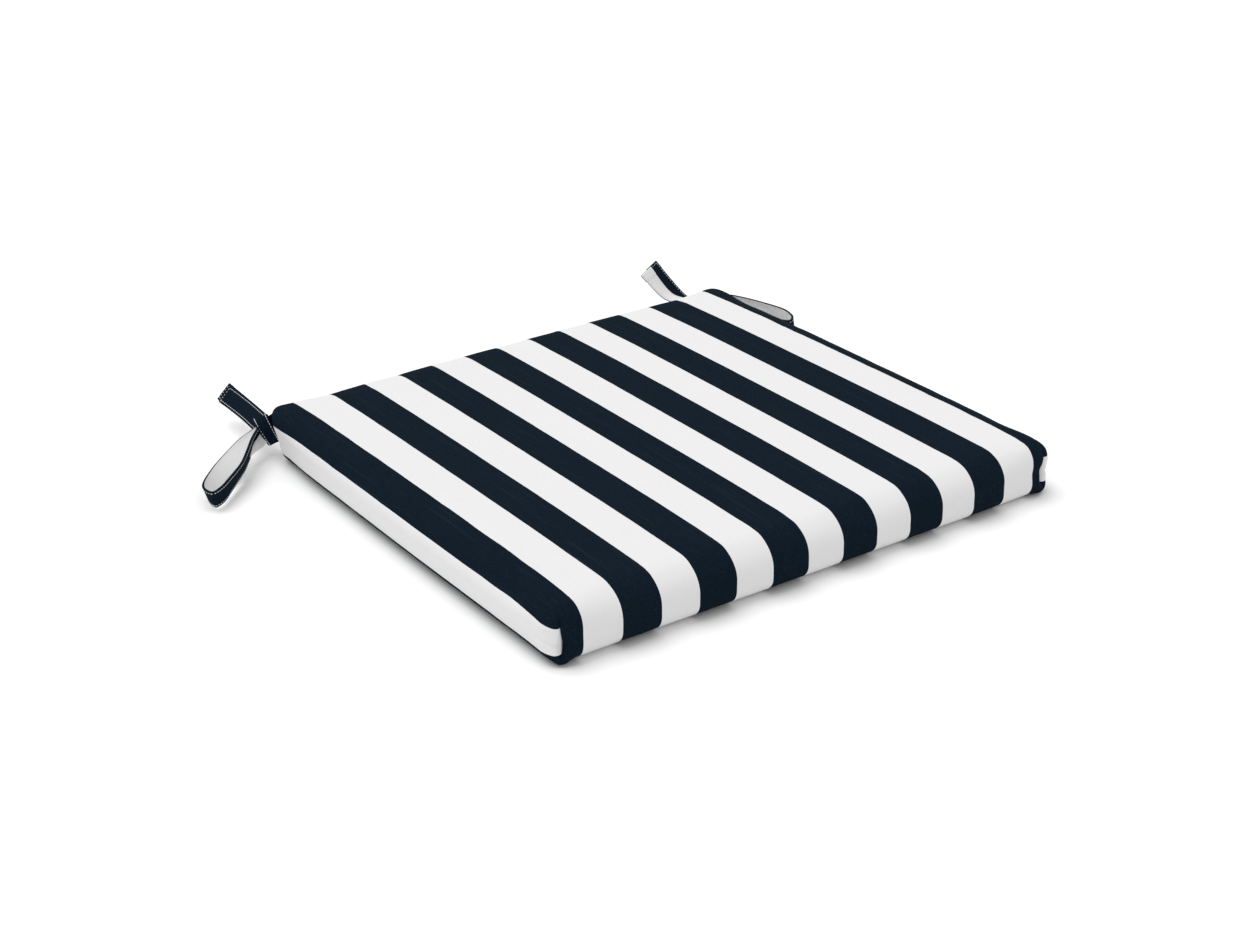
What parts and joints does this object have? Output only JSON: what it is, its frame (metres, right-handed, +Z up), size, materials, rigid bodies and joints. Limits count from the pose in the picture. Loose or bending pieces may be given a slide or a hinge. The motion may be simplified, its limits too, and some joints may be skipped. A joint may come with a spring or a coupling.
{
  "type": "chair cushion",
  "caption": "Flat square seat cushion with striped cover, boxed corners and fabric ties knotted in half bows at the back corners.",
  "frame": {"origin": "centre of the cushion's underside, on the surface it lies on", "axes": "+X across the stripes towards the right-hand side, +Y towards the back edge that carries the ties, +Z up out of the crowned face"},
  "size_m": [0.6267, 0.5518, 0.0594],
  "materials": {
    "striped_cloth": "matte",
    "tie_cloth": "matte"
  },
  "bodies": {
    "root": {"cushion": "striped_cloth", "tie_left": "tie_cloth", "tie_right": "tie_cloth"}
  },
  "joints": []
}
